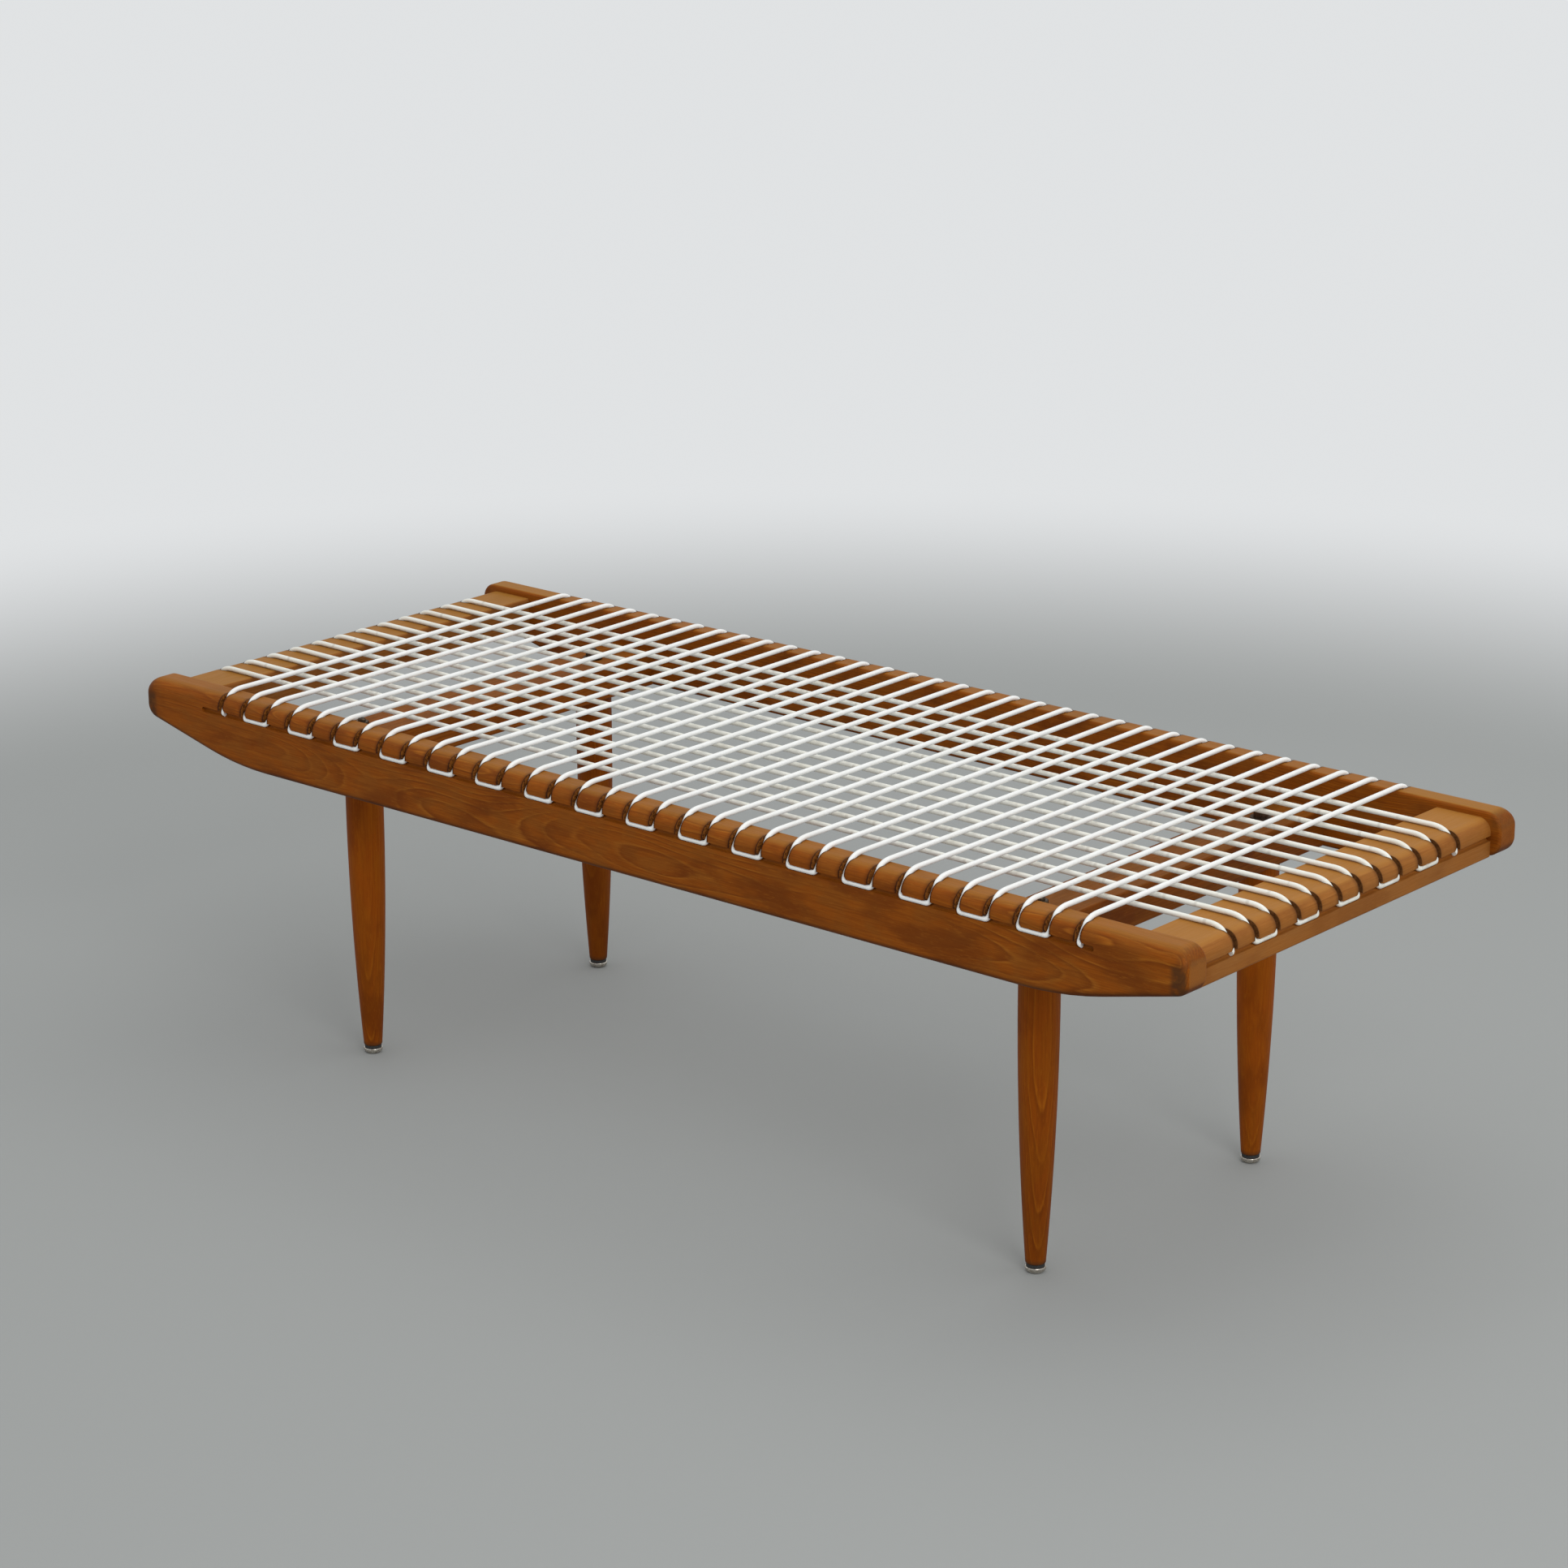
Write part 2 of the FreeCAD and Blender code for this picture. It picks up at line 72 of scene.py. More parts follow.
# Faces, edges and ends of the rails, read from the frame
side_low, side_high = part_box("side_rail_back")
end_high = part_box("end_rail_right")[1]
RAIL_FACE = side_high.y
RAIL_TOP = side_high.z
RAIL_BOTTOM = side_low.z
RAIL_END = side_high.x
END_RAIL_FACE = end_high.x
END_RAIL_TOP = end_high.z
END_RAIL_HALF = end_high.y

# Cord, kerfs and groove. A kerf's floor slants: it lies KERF_REACH in from the rail's face at the top,
# and KERF_LEAN times the drop nearer to the face further down.
CORD_DIAMETER = 0.0048
SIDE_KERF_COUNT = 34
SIDE_KERF_PITCH = 0.032
SIDE_ROW_HALF = SIDE_KERF_PITCH * (SIDE_KERF_COUNT - 1) / 2
END_KERF_COUNT = 12
END_KERF_PITCH = 0.0313
END_ROW_HALF = END_KERF_PITCH * (END_KERF_COUNT - 1) / 2
KERF_HALF_WIDTH = 0.0026
KERF_REACH = 0.0180
KERF_LEAN = 0.6745
GROOVE_DROP = 0.018
GROOVE_RADIUS = 0.0025
GROOVE_LEFT_RUN = 0.025

# Route points at one end of a cord's run: how far in from the rail's face, and how far below its top
FOLD = (0.0024, GROOVE_DROP)
IN_KERF = (0.0080, 0.0097)
SLACK_IN_KERF = (0.0064, 0.0105)
BEND = (0.0157, -0.0031)
ON_TOP = (0.0450, -0.0025)
GROOVE_REACH = 0.007
CORD_TAIL = 0.0036

# Slack of the cords: sag at mid run, and how much single runs stray from it
CROSSWISE_SAG = 0.0006
CROSSWISE_STRAY = 0.0008
LENGTHWISE_SAG = 0.0030
LENGTHWISE_STRAY = 0.0012

# Seeds: each cord strays in its own way, and each piece of wood is another stretch of log
CROSSWISE_SEED = 5
LENGTHWISE_SEED = 6
SIDE_RAIL_SEED = 11
END_RAIL_SEED = 21
STRETCHER_SEED = 31
FIRST_LEG_SEED = 41
LOG_SHIFT = 1.7

# Camera of the photograph
CAMERA_PLACE = (2.53834, -2.95468, 1.55238)
CAMERA_TURN = (72.5554, 0.2598, 40.7483)
CAMERA_LENS = 98.122
CAMERA_SENSOR = 36.0

# Stage: the floor near the bench, and the backdrop that it fades into between two distances
FLOOR_SIZE = 60.0
FLOOR_COLOUR = (0.330, 0.338, 0.330, 1)
BACKDROP_COLOUR = (0.750, 0.765, 0.775, 1)
FADE_START = 1.4
FADE_END = 2.6

# Soft lamps: place, width and power in watts, all aimed at one point of the bench
LAMP_AIM = (0, 0, 0.3)
LAMPS = {
    "ceiling_softbox": ((0.3, 0.6, 3.4), 3.0, 27),
    "right_softbox": ((3.6, -1.9, 2.6), 2.0, 60),
}

# Tones of the wood, and painted light and shade: how much lighter or darker single pieces are made for
# the light they get
RAIL_TONES = Tones(
    brown=(0.275, 0.069, 0.0040, 1),
    dark=(0.145, 0.032, 0.0024, 1),
    line=(0.370, 0.122, 0.0120, 1),
    dull=(0.232, 0.072, 0.0080, 1),
)
BOARD_TONES = Tones(
    brown=(0.300, 0.108, 0.0210, 1),
    dark=(0.190, 0.060, 0.0110, 1),
    line=(0.390, 0.160, 0.0400, 1),
    dull=(0.260, 0.100, 0.0240, 1),
)
# painted light: a lighter copy of the board tones for the right end rail, which faces the light
LIT_BOARD_TONES = Tones(
    brown=(0.315, 0.115, 0.0210, 1),
    dark=(0.225, 0.074, 0.0130, 1),
    line=(0.400, 0.164, 0.0380, 1),
    dull=(0.285, 0.112, 0.0260, 1),
)
LEG_TONES = Tones(
    brown=(0.285, 0.062, 0.0016, 1),
    dark=(0.185, 0.038, 0.0012, 1),
    line=(0.410, 0.116, 0.0050, 1),
    dull=(0.280, 0.072, 0.0020, 1),
)
STRETCHER_PAINTED_LIGHT = {LEFT: 1.05, RIGHT: 0.80}
LEG_PAINTED_LIGHT = {"front_left": 1.06, "front_right": 0.95, "back_left": 0.88, "back_right": 1.20}

# Growth rings: their spacing, and how far they stray along the grain
RAIL_RINGS = (0.0021, 0.034)
END_RAIL_RINGS = (0.0036, 0.010)
STRETCHER_RINGS = (0.0040, 0.014)
LEG_RINGS = (0.0026, 0.012)
RING_SHIVER = 0.0014

# Where the log's pith lies from each piece, and the way that the legs' grain faces, in radians
RAIL_PITH_DEPTH = 0.055
RAIL_PITH_DROP = 0.012
END_RAIL_PITH_PLACE = 0.60
END_RAIL_PITH_DROP = 0.11
STRETCHER_PITH_RISE = 0.07
LEG_PITH_REACH = 0.12
LEG_GRAIN_TURN = -0.86
LEG_GRAIN_STRAY = 0.4

# Blots that make up the figure of the wood: their length along the grain and their width
STRAY_BLOTS = (0.30, 0.11)
SHIVER_BLOTS = (0.07, 0.014)
CLEAR_BLOTS = (0.26, 0.09)
DULL_BLOTS = (0.036, 0.016)
STAIN_BLOTS = (0.07, 0.028)
FIBRES = (0.045, 0.0014)
FLECKS = (0.008, 0.0009)

# Tones of worn, bare and soiled places, linear; some also stand for painted sheen, light or shade, as
# noted
# painted sheen and wear: pale tan of faces that point up
WORN_SHEEN_TAN = (0.330, 0.148, 0.0220, 1)
# painted light and sheen: paler tan of the right end rail's top, a lit copy
LIT_SHEEN_TAN = (0.375, 0.165, 0.0300, 1)
END_GRAIN = (0.285, 0.112, 0.0240, 1)
KERF_WALL = (0.250, 0.084, 0.0120, 1)
# painted shade: darker kerf walls for the end rails, standing for the shadow deep in their slots
SHADED_KERF_WALL = (0.080, 0.030, 0.0090, 1)
# painted light: paler wood inside the cord's groove, against the shade that falls in it
GROOVE_PAINTED_LIGHT = (0.360, 0.105, 0.0120, 1)
# burnt saw marks, and painted shade on downward faces, beside the kerfs and low on the legs
BURNT_AND_SHADE = (0.024, 0.0052, 0.0012, 1)
GRIME = (0.060, 0.026, 0.0100, 1)

# Shares: how much flat tops are faded and given a painted sheen, and how bare the end faces of the side
# rails are
TOOTH_FADE_AND_SHEEN = 0.46
RAIL_END_FADE_AND_SHEEN = {FRONT: 0.44, BACK: 0.75}
END_RAIL_FADE_AND_SHEEN = 0.70
STRETCHER_FADE_AND_SHEEN = 0.20
BARE_END = {FRONT: 0.60, BACK: 0.15}

# Faded tops with their painted sheen: how far down they go, and where fade and sheen change on either
# side of a side rail's last kerf
FADE_AND_SHEEN_DROP = 0.006
FADE_AND_SHEEN_BEFORE_KERF = 0.010
FADE_AND_SHEEN_PAST_KERF = 0.015

# Grime near a side rail's end, on the corner of its face and on its upper ridge
CORNER_GRIME_LENGTH = 0.012
CORNER_GRIME_DEPTH = 0.004
CORNER_GRIME_DROP = 0.010
RIDGE_GRIME_LENGTH = 0.008
RIDGE_GRIME_DROP = 0.012

# Heights above a leg's tip up to which it is darkest, by painted shade growing towards the floor, and
# grimy
LEG_DARK_HEIGHT = 0.02
LEG_GRIME_HEIGHT = 0.0005

# Distance off a face at which the painted light of the groove and the grime of the corner begin
OFF_FACE = 0.0002

# Saw marks: burnt rims beside the kerfs and half their soft edge, the drop below which the cord rubs them
# wider, the width of the painted shade round them, and how far the marks go on past the middle of the
# last kerf
SIDE_RIM = 0.0022
END_RIM = 0.0012
BURN_EDGE = 0.0009
RUBBED_DROP = 0.003
KERF_SHADE_WIDTH = 0.0065
ROW_MARGIN = 0.004

# The corded edges of the side rails and of the end rails
SIDE_CORDED = CordedEdge(
    SIDE_KERF_PITCH, SIDE_ROW_HALF, SIDE_ROW_HALF + GROOVE_LEFT_RUN, SIDE_RIM, KERF_WALL
)
END_CORDED = CordedEdge(END_KERF_PITCH, END_ROW_HALF, END_RAIL_HALF, END_RIM, SHADED_KERF_WALL)

# Tones of the other materials, linear, each lighter and darker
STEEL_TONES = ((0.155, 0.115, 0.078, 1), (0.055, 0.036, 0.024, 1))
NICKEL_TONES = ((0.72, 0.68, 0.61, 1), (0.38, 0.33, 0.27, 1))
RAW_WOOD_TONES = ((0.55, 0.40, 0.22, 1), (0.40, 0.26, 0.12, 1))
RUBBER_TONES = ((0.028, 0.027, 0.025, 1), (0.010, 0.010, 0.010, 1))
BRIGHT_CORD_TONES = ((0.84, 0.84, 0.82, 1), (0.76, 0.75, 0.71, 1))
CREAMY_CORD_TONES = ((0.81, 0.80, 0.73, 1), (0.72, 0.69, 0.59, 1))

# Rub marks on the cords, beside the crosswise runs
RUB_MARK = (0.30, 0.24, 0.17, 1)
MARK_OFFSET = 0.007


class Look:
    """One material and short calls that wire its nodes."""

    def __init__(self, name):
        self.material = bpy.data.materials.new(name)
        self.material.use_nodes = True
        self.tree = self.material.node_tree
        self.shader = self.tree.nodes["Principled BSDF"]

    def feed(self, socket, value):
        if isinstance(value, bpy.types.NodeSocket):
            self.tree.links.new(value, socket)
        else:
            socket.default_value = value

    def add(self, kind, **settings):
        node = self.tree.nodes.new(kind)
        for name, value in settings.items():
            setattr(node, name, value)
        return node

    def set(self, **values):
        for name, value in values.items():
            self.feed(self.shader.inputs[name.replace("_", " ")], value)

    def math(self, operation, *values):
        node = self.add("ShaderNodeMath", operation=operation)
        for socket, value in zip(node.inputs, values):
            self.feed(socket, value)
        return node.outputs[0]

    def product(self, first, *others):
        for other in others:
            first = self.math("MULTIPLY", first, other)
        return first

    def place(self):
        """The point on the surface, in metres, as separate x, y and z."""
        split = self.add("ShaderNodeSeparateXYZ")
        self.feed(split.inputs[0], self.add("ShaderNodeTexCoord").outputs["Object"])
        return split.outputs

    def facing(self):
        """The surface normal as separate x, y and z."""
        split = self.add("ShaderNodeSeparateXYZ")
        self.feed(split.inputs[0], self.add("ShaderNodeNewGeometry").outputs["Normal"])
        return split.outputs

    def vector(self, x, y, z):
        node = self.add("ShaderNodeCombineXYZ")
        for socket, value in zip(node.inputs, (x, y, z)):
            self.feed(socket, value)
        return node.outputs[0]

    def length(self, x, y, z):
        node = self.add("ShaderNodeVectorMath", operation="LENGTH")
        self.feed(node.inputs[0], self.vector(x, y, z))
        return node.outputs["Value"]

    def noise(self, vector, scale=1.0, detail=2.0, roughness=0.5):
        node = self.add("ShaderNodeTexNoise")
        self.feed(node.inputs["Vector"], vector)
        self.feed(node.inputs["Scale"], scale)
        self.feed(node.inputs["Detail"], detail)
        self.feed(node.inputs["Roughness"], roughness)
        return node.outputs[0]

    def ease(self, value, start, end, low=0.0, high=1.0):
        """Smooth step: low at start, high at end, whichever way round they lie."""
        node = self.add("ShaderNodeMapRange", interpolation_type="SMOOTHSTEP")
        for socket, item in zip(node.inputs, (value, start, end, low, high)):
            self.feed(socket, item)
        return node.outputs[0]

    def inside(self, value, limit, soft):
        """One up to the limit, then fading to zero over the soft edge."""
        return self.ease(value, limit + soft, limit)

    def beyond(self, value, limit, soft):
        """Zero up to the limit, then rising to one over the soft edge."""
        return self.ease(value, limit, limit + soft)

    def mix(self, share, first, second):
        node = self.add("ShaderNodeMix", data_type="RGBA")
        self.feed(node.inputs[0], share)
        self.feed(node.inputs[6], first)
        self.feed(node.inputs[7], second)
        return node.outputs[2]

    def ramp(self, value, stops):
        node = self.add("ShaderNodeValToRGB")
        steps = node.color_ramp.elements
        while len(steps) < len(stops):
            steps.new(0.5)
        for step, (position, colour) in zip(steps, stops):
            step.position = position
            step.color = colour
        self.feed(node.inputs[0], value)
        return node.outputs[0]

    def bump(self, height, strength, distance):
        node = self.add("ShaderNodeBump")
        self.feed(node.inputs["Strength"], strength)
        self.feed(node.inputs["Distance"], distance)
        self.feed(node.inputs["Height"], height)
        self.set(Normal=node.outputs[0])


def wood(name, axis, seed, tones, pith, rings):
    """Oiled wood cut from a log: growth rings round a pith, clouds of stain, fibres and flecks.

    axis is the way of the grain, pith the log's centre line across it, and rings the spacing and the
    stray of the growth rings. Returns the look and its colour so far.
    """
    ring_spacing, ring_stray = rings
    look = Look(name)
    x, y, z = look.place()
    along, across, through = {"X": (x, y, z), "Y": (y, x, z), "Z": (z, x, y)}[axis]
    shifted = look.math("ADD", along, LOG_SHIFT * seed)

    def blots(size, detail, roughness=0.5):
        """Noise whose blots are drawn out along the grain."""
        length, width = size
        point = look.vector(
            look.math("DIVIDE", shifted, length),
            look.math("DIVIDE", across, width),
            look.math("DIVIDE", through, width),
        )
        return look.noise(point, detail=detail, roughness=roughness)

    off_pith = look.math("SUBTRACT", across, pith[0])
    radius = look.length(0.0, off_pith, look.math("SUBTRACT", through, pith[1]))
    stray = look.product(blots(STRAY_BLOTS, 1.5), ring_stray)
    shiver = look.product(blots(SHIVER_BLOTS, 2.0), RING_SHIVER)
    growth = look.math("ADD", look.math("ADD", radius, stray), shiver)
    ring = look.math("FRACT", look.math("DIVIDE", growth, ring_spacing))
    brown, dark, line, dull = tones
    ringed = look.ramp(ring, [(0.0, line), (0.16, brown), (0.58, brown), (0.90, dark), (1.0, line)])
    colour = look.mix(look.ease(blots(CLEAR_BLOTS, 1.0), 0.38, 0.60, 0.12, 0.75), brown, ringed)
    colour = look.mix(look.ease(blots(DULL_BLOTS, 3.0), 0.42, 0.62, 0.0, 0.60), colour, dull)
    colour = look.mix(look.ease(blots(STAIN_BLOTS, 3.0), 0.48, 0.68, 0.0, 0.70), colour, dark)
    fibres = blots(FIBRES, 3.0, 0.6)
    colour = look.mix(look.ease(fibres, 0.36, 0.60, 0.38, 0.0), colour, dark)
    colour = look.mix(look.ease(blots(FLECKS, 1.0), 0.58, 0.74, 0.0, 0.26), colour, line)
    look.set(Roughness=look.ease(fibres, 0.25, 0.75, 0.56, 0.44), Specular_IOR_Level=0.07)
    look.bump(fibres, 0.10, 0.0003)
    return look, colour


def kerf_wear(look, colour, edge, along, across, depth, drop):
    """Saw marks of a row of kerfs: painted shade on the teeth's rounded edges round them, burnt ragged
    rims and blotchy walls.

    along is the place along the rail, across how squarely the surface faces along it, depth how far the
    place lies in from the rail's face, and drop how far below its top.
    """
    ragged = look.noise(look.vector(along, depth, drop), scale=420.0)
    to_kerf = look.math("PINGPONG", look.math("SUBTRACT", along, edge.pitch / 2), edge.pitch / 2)
    before_kerf = look.ease(look.math("FRACT", look.math("DIVIDE", along, edge.pitch)), 0.51, 0.49)
    rubbed = look.product(before_kerf, look.beyond(drop, RUBBED_DROP, soft=0.011))
    reach = look.math("MULTIPLY_ADD", rubbed, edge.rim / 2, edge.rim)
    to_burn = look.math("SUBTRACT", to_kerf, look.product(ragged, reach))
    slope = look.math("ADD", depth, look.product(drop, KERF_LEAN))
    in_row = look.product(
        look.inside(look.math("ABSOLUTE", along), edge.row_half + ROW_MARGIN, soft=0.002),
        look.inside(drop, GROOVE_DROP + 0.0005, soft=0.001),
    )
    # painted shade: the teeth's rounded edges are darkened beside each kerf, more on the side before it
    kerf_shade = look.product(
        look.inside(to_kerf, KERF_HALF_WIDTH, soft=KERF_SHADE_WIDTH),
        look.math("MULTIPLY_ADD", before_kerf, 0.30, 0.14),
        look.inside(slope, KERF_REACH - 0.005, soft=0.008),
        in_row,
    )
    colour = look.mix(kerf_shade, colour, BURNT_AND_SHADE)
    burn = look.product(
        look.inside(to_burn, KERF_HALF_WIDTH - BURN_EDGE, soft=2 * BURN_EDGE),
        look.inside(slope, KERF_REACH, soft=0.0008),
        look.ease(ragged, 0.35, 0.65, 0.95, 0.75),
        in_row,
    )
    wall = look.ease(look.math("ABSOLUTE", across), 0.6, 0.9)
    unburnt = look.product(wall, look.ease(ragged, 0.36, 0.60, 0.20, 1.0))
    return look.mix(burn, colour, look.mix(unburnt, BURNT_AND_SHADE, edge.wall))


def groove_lightening(look, colour, edge, along, depth, drop):
    """Painted light: the cord's groove is painted paler than the oiled face, against the shade that falls
    in it.
    """
    from_groove = look.math("ABSOLUTE", look.math("SUBTRACT", drop, GROOVE_DROP))
    in_groove = look.product(
        look.inside(from_groove, GROOVE_RADIUS - 0.0002, soft=0.0006),
        look.beyond(depth, OFF_FACE, soft=0.0008),
        look.inside(depth, 2 * GROOVE_RADIUS + 0.001, soft=0.002),
        look.inside(look.math("ABSOLUTE", along), edge.groove_half, soft=0.001),
    )
    # painted light: lifts the shade inside the groove
    return look.mix(look.product(in_groove, 0.30), colour, GROOVE_PAINTED_LIGHT)


def faded_and_sheen_top(look, colour, tan, share, drop):
    """Flat upper faces are bleached and rubbed paler than the upright ones, and given a painted sheen:
    paler where they face up to the light.
    """
    up = look.facing()[2]
    # painted sheen and wear: the more squarely a face points up, the paler it is made
    flat = look.product(look.ease(up, 0.70, 0.99), look.inside(drop, FADE_AND_SHEEN_DROP, soft=0.006))
    return look.mix(look.product(flat, share), colour, tan)


def rail_end_dirt(look, colour, to_end, depth, drop):
    """Patches of grime near the ends of a side rail, on the corner of its face and on its upper ridge."""
    x, y, z = look.place()
    patches = look.ease(look.noise(look.vector(x, y, z), scale=110.0, detail=3.0), 0.18, 0.55)
    corner = look.product(
        look.inside(depth, CORNER_GRIME_DEPTH, soft=0.005),
        look.beyond(drop, CORNER_GRIME_DROP, soft=0.008),
        look.inside(to_end, CORNER_GRIME_LENGTH, soft=0.007),
        look.beyond(to_end, OFF_FACE, soft=0.0028),
    )
    colour = look.mix(look.product(patches, corner, 0.80), colour, GRIME)
    ridge = look.product(
        look.inside(to_end, RIDGE_GRIME_LENGTH, soft=0.006),
        look.inside(drop, RIDGE_GRIME_DROP, soft=0.005),
    )
    return look.mix(look.product(patches, ridge, 0.30), colour, GRIME)


def side_rail_look(side):
    """Rubbed top with a painted sheen, painted shade on the lower edge, bare end grain, grime at the
    ends, saw marks and painted shade along the kerfs, painted light in the groove.
    """
    pith = (side * (RAIL_FACE - RAIL_PITH_DEPTH), (RAIL_TOP + RAIL_BOTTOM) / 2 - RAIL_PITH_DROP)
    name = "wood_side_rail_" + SIDE_NAMES[side]
    look, colour = wood(name, "X", SIDE_RAIL_SEED + side, RAIL_TONES, pith, RAIL_RINGS)
    x, y, z = look.place()
    across, _, up = look.facing()
    depth = look.math("SUBTRACT", RAIL_FACE, look.math("ABSOLUTE", y))
    drop = look.math("SUBTRACT", RAIL_TOP, z)
    to_end = look.math("SUBTRACT", RAIL_END, look.math("ABSOLUTE", x))
    last_kerf = RAIL_END - SIDE_ROW_HALF
    top_fade_and_sheen = look.ease(
        to_end, last_kerf + FADE_AND_SHEEN_BEFORE_KERF, last_kerf - FADE_AND_SHEEN_PAST_KERF, TOOTH_FADE_AND_SHEEN, RAIL_END_FADE_AND_SHEEN[side]
    )
    colour = faded_and_sheen_top(look, colour, WORN_SHEEN_TAN, top_fade_and_sheen, drop)
    # painted shade: faces that point down, along the rail's lower edge, are darkened
    colour = look.mix(look.ease(up, -0.05, -0.70, 0.0, 0.55), colour, BURNT_AND_SHADE)
    end_face = look.ease(look.math("ABSOLUTE", across), 0.90, 0.97)
    bare = look.product(end_face, look.inside(to_end, 0.001, soft=0.003), BARE_END[side])
    colour = look.mix(bare, colour, END_GRAIN)
    colour = rail_end_dirt(look, colour, to_end, depth, drop)
    colour = kerf_wear(look, colour, SIDE_CORDED, x, across, depth, drop)
    look.set(Base_Color=groove_lightening(look, colour, SIDE_CORDED, x, depth, drop))
    return look.material


def end_rail_look(side):
    """Board with a faded top with a painted sheen, and saw marks with painted shade on the kerf walls;
    the right one is painted lighter, as a lit copy.
    """
    # painted light: the right end rail gets the lighter, lit copy of the tones
    tones, tan = (BOARD_TONES, WORN_SHEEN_TAN) if side == LEFT else (LIT_BOARD_TONES, LIT_SHEEN_TAN)
    pith = (side * END_RAIL_PITH_PLACE, END_RAIL_TOP - END_RAIL_PITH_DROP)
    name = "wood_end_rail_" + END_NAMES[side]
    look, colour = wood(name, "Y", END_RAIL_SEED + side, tones, pith, END_RAIL_RINGS)
    x, y, z = look.place()
    across = look.facing()[1]
    depth = look.math("SUBTRACT", END_RAIL_FACE, look.math("ABSOLUTE", x))
    drop = look.math("SUBTRACT", END_RAIL_TOP, z)
    colour = faded_and_sheen_top(look, colour, tan, END_RAIL_FADE_AND_SHEEN, drop)
    colour = kerf_wear(look, colour, END_CORDED, y, across, depth, drop)
    look.set(Base_Color=groove_lightening(look, colour, END_CORDED, y, depth, drop))
    return look.material


def painted_light_tones(tones, shade):
    """The same tones, lighter or darker: painted light or shade."""
    return Tones(*((*(shade * level for level in tone[:3]), 1) for tone in tones))


def stretcher_look(side):
    """Board of the rails' wood with a slightly faded top with a painted sheen, painted lighter or darker
    per side.
    """
    place = END_NAMES[side]
    low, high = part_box("stretcher_" + place)
    pith = ((low.x + high.x) / 2, high.z + STRETCHER_PITH_RISE)
    # painted light or shade: each stretcher's tones are made lighter or darker for the light it gets
    tones = painted_light_tones(RAIL_TONES, STRETCHER_PAINTED_LIGHT[side])
    name = "wood_stretcher_" + place
    look, colour = wood(name, "Y", STRETCHER_SEED + side, tones, pith, STRETCHER_RINGS)
    drop = look.math("SUBTRACT", high.z, look.place()[2])
    look.set(Base_Color=faded_and_sheen_top(look, colour, WORN_SHEEN_TAN, STRETCHER_FADE_AND_SHEEN, drop))
    return look.material


def leg_look(place, shade, seed):
    """Turned wood, whose rings run out in long loops down the taper, with painted shade darkening it
    towards the foot, and grimy at the tip.
    """
    low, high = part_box("leg_" + place)
    centre = (low + high) / 2
    turn = LEG_GRAIN_TURN + random.Random(seed).uniform(-LEG_GRAIN_STRAY, LEG_GRAIN_STRAY)
    pith = (centre.x - LEG_PITH_REACH * math.cos(turn), centre.y - LEG_PITH_REACH * math.sin(turn))
    # painted light or shade: each leg's tones are made lighter or darker for the light it gets
    look, colour = wood("wood_leg_" + place, "Z", seed, painted_light_tones(LEG_TONES, shade), pith, LEG_RINGS)
    z = look.place()[2]
    # painted shade: the leg is made darker towards the floor
    lower = look.inside(z, low.z + LEG_DARK_HEIGHT, soft=0.20)
    colour = look.mix(look.product(lower, 0.28), colour, BURNT_AND_SHADE)
    tip = look.inside(z, low.z + LEG_GRIME_HEIGHT, soft=0.0055)
    look.set(Base_Color=look.mix(look.product(tip, 0.7), colour, GRIME))
    return look.material


def dowel_look():
    """Raw wood with its fibres along the dowel."""
    look = Look("raw_dowel_wood")
    x, y, z = look.place()
    point = look.vector(look.product(x, 700.0), look.product(y, 25.0), look.product(z, 700.0))
    fibres = look.noise(point)
    light, dark = RAW_WOOD_TONES
    look.set(
        Base_Color=look.ramp(fibres, [(0.3, dark), (0.7, light)]),
        Roughness=look.ease(fibres, 0.3, 0.7, 0.75, 0.6),
    )
    look.bump(fibres, 0.2, 0.0003)
    return look.material


def metal_look(name, tones, spot_scale, rough_low, rough_high):
    """Metal with a fine brushed unevenness and duller spots."""
    light, dark = tones
    look = Look(name)
    x, y, z = look.place()
    spots = look.noise(look.vector(x, y, z), scale=spot_scale, detail=4.0, roughness=0.65)
    point = look.vector(look.product(x, 300.0), look.product(y, 300.0), look.product(z, 4000.0))
    brushed = look.noise(point)
    look.set(
        Base_Color=look.ramp(spots, [(0.35, dark), (0.65, light)]),
        Metallic=1.0,
        Roughness=look.ease(spots, 0.3, 0.7, rough_high, rough_low),
    )
    look.bump(brushed, 0.08, 0.0001)
    return look.material


def rubber_look():
    """Black rubber with a finely pitted skin."""
    look = Look("black_rubber")
    x, y, z = look.place()
    pitted = look.noise(look.vector(x, y, z), scale=900.0, detail=3.0)
    light, dark = RUBBER_TONES
    look.set(
        Base_Color=look.ramp(pitted, [(0.3, dark), (0.7, light)]),
        Roughness=look.ease(pitted, 0.3, 0.7, 0.75, 0.55),
    )
    look.bump(pitted, 0.25, 0.0002)
    return look.material


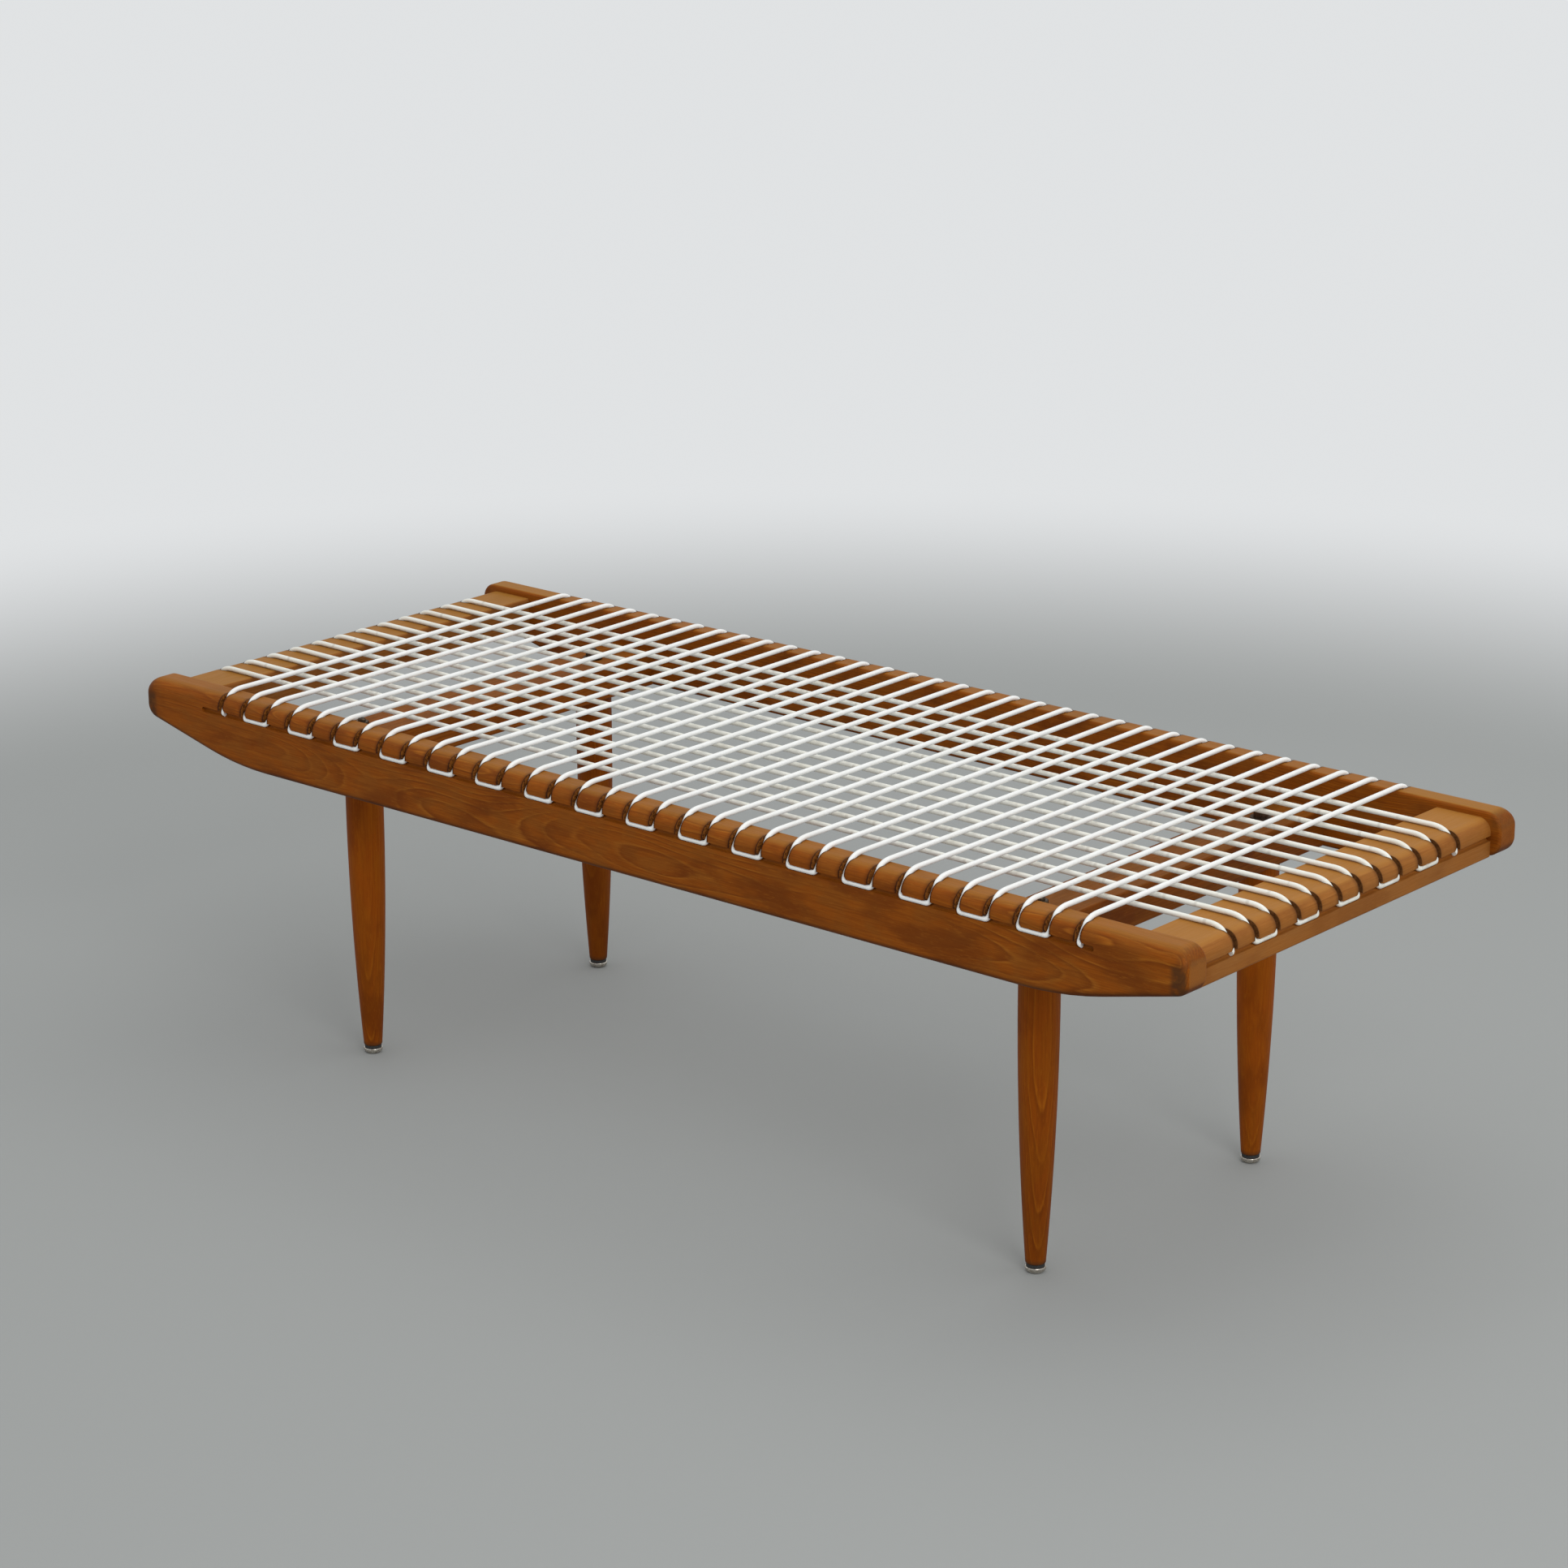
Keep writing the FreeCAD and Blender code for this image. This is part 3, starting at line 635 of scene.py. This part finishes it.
def cord_look(name, tones, soil_share, mark_share):
    """White plastic cord: satin, a little uneven, with rub marks where the other layer crosses it."""
    white, soiled = tones
    look = Look(name)
    x, y, z = look.place()
    point = look.vector(x, y, z)
    clouds = look.noise(point, scale=26.0, detail=3.0)
    colour = look.mix(look.ease(clouds, 0.40, 0.72, 0.0, soil_share), white, soiled)
    off_mark = look.math("SUBTRACT", x, SIDE_KERF_PITCH / 2 + MARK_OFFSET)
    to_mark = look.math("PINGPONG", off_mark, SIDE_KERF_PITCH / 2)
    spotty = look.ease(look.noise(point, scale=60.0, detail=1.0), 0.48, 0.62)
    rub = look.product(look.inside(to_mark, 0.0006, soft=0.0020), spotty, mark_share)
    look.set(
        Base_Color=look.mix(rub, colour, RUB_MARK),
        Roughness=look.ease(clouds, 0.3, 0.7, 0.40, 0.50),
        Specular_IOR_Level=0.30,
    )
    look.bump(look.noise(point, scale=1400.0), 0.05, 0.0002)
    return look.material


def evenly_spaced(count, pitch):
    """Positions of a row that is centred on zero."""
    return [pitch * (i - (count - 1) / 2) for i in range(count)]


def side_edge(side):
    """Maps a kerf's place along a side rail, a depth and a drop to a point."""
    return lambda along, depth, drop: Vector((along, side * (RAIL_FACE - depth), RAIL_TOP - drop))


def end_edge(side):
    """Maps a kerf's place along an end rail, a depth and a drop to a point."""
    return lambda along, depth, drop: Vector(
        (side * (END_RAIL_FACE - depth), along, END_RAIL_TOP - drop)
    )


def laced_route(kerfs, tails, tail_edge, loop_edge, sag, stray, seed):
    """Control points of one cord, laced to and fro, with both ends tucked in at the tail edge."""
    chance = random.Random(seed)
    points = [tail_edge(kerfs[0] + tails[0] * CORD_TAIL, *FOLD)]
    for i, along in enumerate(kerfs):
        start, end = (loop_edge, tail_edge) if i % 2 else (tail_edge, loop_edge)
        if i:
            points.append(start(along - GROOVE_REACH, *FOLD))
        middle = (start(along, *ON_TOP) + end(along, *ON_TOP)) / 2
        sideways = (start(1, 0, 0) - start(0, 0, 0)) * chance.uniform(-stray, stray)
        down = Vector((0, 0, -sag * chance.uniform(0.6, 1.4)))
        points += [start(along, *spot) for spot in (FOLD, IN_KERF, BEND, ON_TOP)]
        points.append(middle + sideways + down)
        points += [end(along, *spot) for spot in (ON_TOP, BEND, SLACK_IN_KERF, FOLD)]
        if i < len(kerfs) - 1:
            points.append(end(along + GROOVE_REACH, *FOLD))
    points.append(tail_edge(kerfs[-1] + tails[1] * CORD_TAIL, *FOLD))
    return points


def cord(name, points, material):
    """A smooth round cord that stands for the CAD node of the same name."""
    curve = bpy.data.curves.new(name + "_line", "CURVE")
    curve.dimensions = "3D"
    spline = curve.splines.new("NURBS")
    spline.points.add(len(points) - 1)
    for control, point in zip(spline.points, points):
        control.co = (*point, 1)
    spline.order_u = 3
    spline.use_endpoint_u = True
    curve.resolution_u = 8
    curve.bevel_depth = CORD_DIAMETER / 2
    curve.bevel_resolution = 5
    curve.use_fill_caps = True
    curve.materials.append(material)
    piece = bpy.data.objects.new(name + "_laced", curve)
    bpy.context.scene.collection.objects.link(piece)
    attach(piece, "root")
    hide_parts(name)


def dress(node, material):
    """Gives a CAD node its finish."""
    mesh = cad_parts[node].data
    mesh.materials.clear()
    mesh.materials.append(material)


def dress_frame():
    for side, place in SIDE_NAMES.items():
        dress("side_rail_" + place, side_rail_look(side))
    for side, place in END_NAMES.items():
        dress("end_rail_" + place, end_rail_look(side))
        dress("stretcher_" + place, stretcher_look(side))
    dowel_wood = dowel_look()
    dress("end_rail_dowels", dowel_wood)
    dress("stretcher_dowels", dowel_wood)
    steel = metal_look("dark_steel", STEEL_TONES, 260.0, 0.38, 0.60)
    for node in ("leg_bolts", "leg_nuts", "leg_washers"):
        dress(node, steel)
    nickel = metal_look("worn_nickel", NICKEL_TONES, 420.0, 0.12, 0.32)
    rubber = rubber_look()
    for seed, (place, shade) in enumerate(LEG_PAINTED_LIGHT.items(), FIRST_LEG_SEED):
        dress("leg_" + place, leg_look(place, shade, seed))
        dress("foot_glide_" + place, nickel)
        dress("foot_cushion_" + place, rubber)


def lace_seat():
    side_kerfs = evenly_spaced(SIDE_KERF_COUNT, SIDE_KERF_PITCH)
    crosswise = laced_route(
        side_kerfs, (RIGHT, RIGHT), side_edge(FRONT), side_edge(BACK),
        CROSSWISE_SAG, CROSSWISE_STRAY, CROSSWISE_SEED,
    )
    end_kerfs = evenly_spaced(END_KERF_COUNT, END_KERF_PITCH)
    lengthwise = laced_route(
        end_kerfs, (FRONT, FRONT), end_edge(RIGHT), end_edge(LEFT),
        LENGTHWISE_SAG, LENGTHWISE_STRAY, LENGTHWISE_SEED,
    )
    bright = cord_look("white_cord_crosswise", BRIGHT_CORD_TONES, 0.5, 0.08)
    creamy = cord_look("white_cord_lengthwise", CREAMY_CORD_TONES, 0.6, 0.28)
    cord("crosswise_cord", crosswise, bright)
    cord("lengthwise_cord", lengthwise, creamy)


def floor_look():
    """Pale floor that fades into the backdrop away from the bench, for the camera and reflections."""
    look = Look("pale_floor")
    look.set(Base_Color=FLOOR_COLOUR, Roughness=0.8, Specular_IOR_Level=0.2)
    x, y, z = look.place()
    path = look.add("ShaderNodeLightPath").outputs
    seen = look.math("MAXIMUM", path["Is Camera Ray"], path["Is Glossy Ray"])
    seen = look.math("MAXIMUM", seen, path["Is Transmission Ray"])
    glow = look.add("ShaderNodeEmission")
    look.feed(glow.inputs["Color"], BACKDROP_COLOUR)
    blend = look.add("ShaderNodeMixShader")
    look.feed(blend.inputs[0], look.product(look.ease(look.length(x, y, z), FADE_START, FADE_END), seen))
    look.feed(blend.inputs[1], look.shader.outputs[0])
    look.feed(blend.inputs[2], glow.outputs[0])
    look.feed(look.tree.nodes["Material Output"].inputs["Surface"], blend.outputs[0])
    return look.material


def set_stage():
    bpy.ops.mesh.primitive_plane_add(size=FLOOR_SIZE)
    floor = bpy.context.object
    floor.name = "floor"
    floor.data.materials.append(floor_look())


def area_light(name, place, width, power):
    lamp = bpy.data.lights.new(name, "AREA")
    lamp.shape = "SQUARE"
    lamp.size = width
    lamp.energy = power
    holder = bpy.data.objects.new(name, lamp)
    holder.location = place
    holder.rotation_euler = (Vector(LAMP_AIM) - Vector(place)).to_track_quat("-Z", "Y").to_euler()
    bpy.context.scene.collection.objects.link(holder)


def set_light():
    world = bpy.data.worlds.new("studio")
    world.use_nodes = True
    world.node_tree.nodes["Background"].inputs["Color"].default_value = BACKDROP_COLOUR
    bpy.context.scene.world = world
    for name, settings in LAMPS.items():
        area_light(name, *settings)


def set_camera():
    lens = bpy.data.cameras.new("camera")
    lens.sensor_width = CAMERA_SENSOR
    lens.lens = CAMERA_LENS
    holder = bpy.data.objects.new("camera", lens)
    holder.location = CAMERA_PLACE
    holder.rotation_euler = Euler([math.radians(turn) for turn in CAMERA_TURN])
    bpy.context.scene.collection.objects.link(holder)
    bpy.context.scene.camera = holder


dress_frame()
lace_seat()
set_stage()
set_light()
set_camera()
bpy.context.scene.view_settings.view_transform = "Standard"
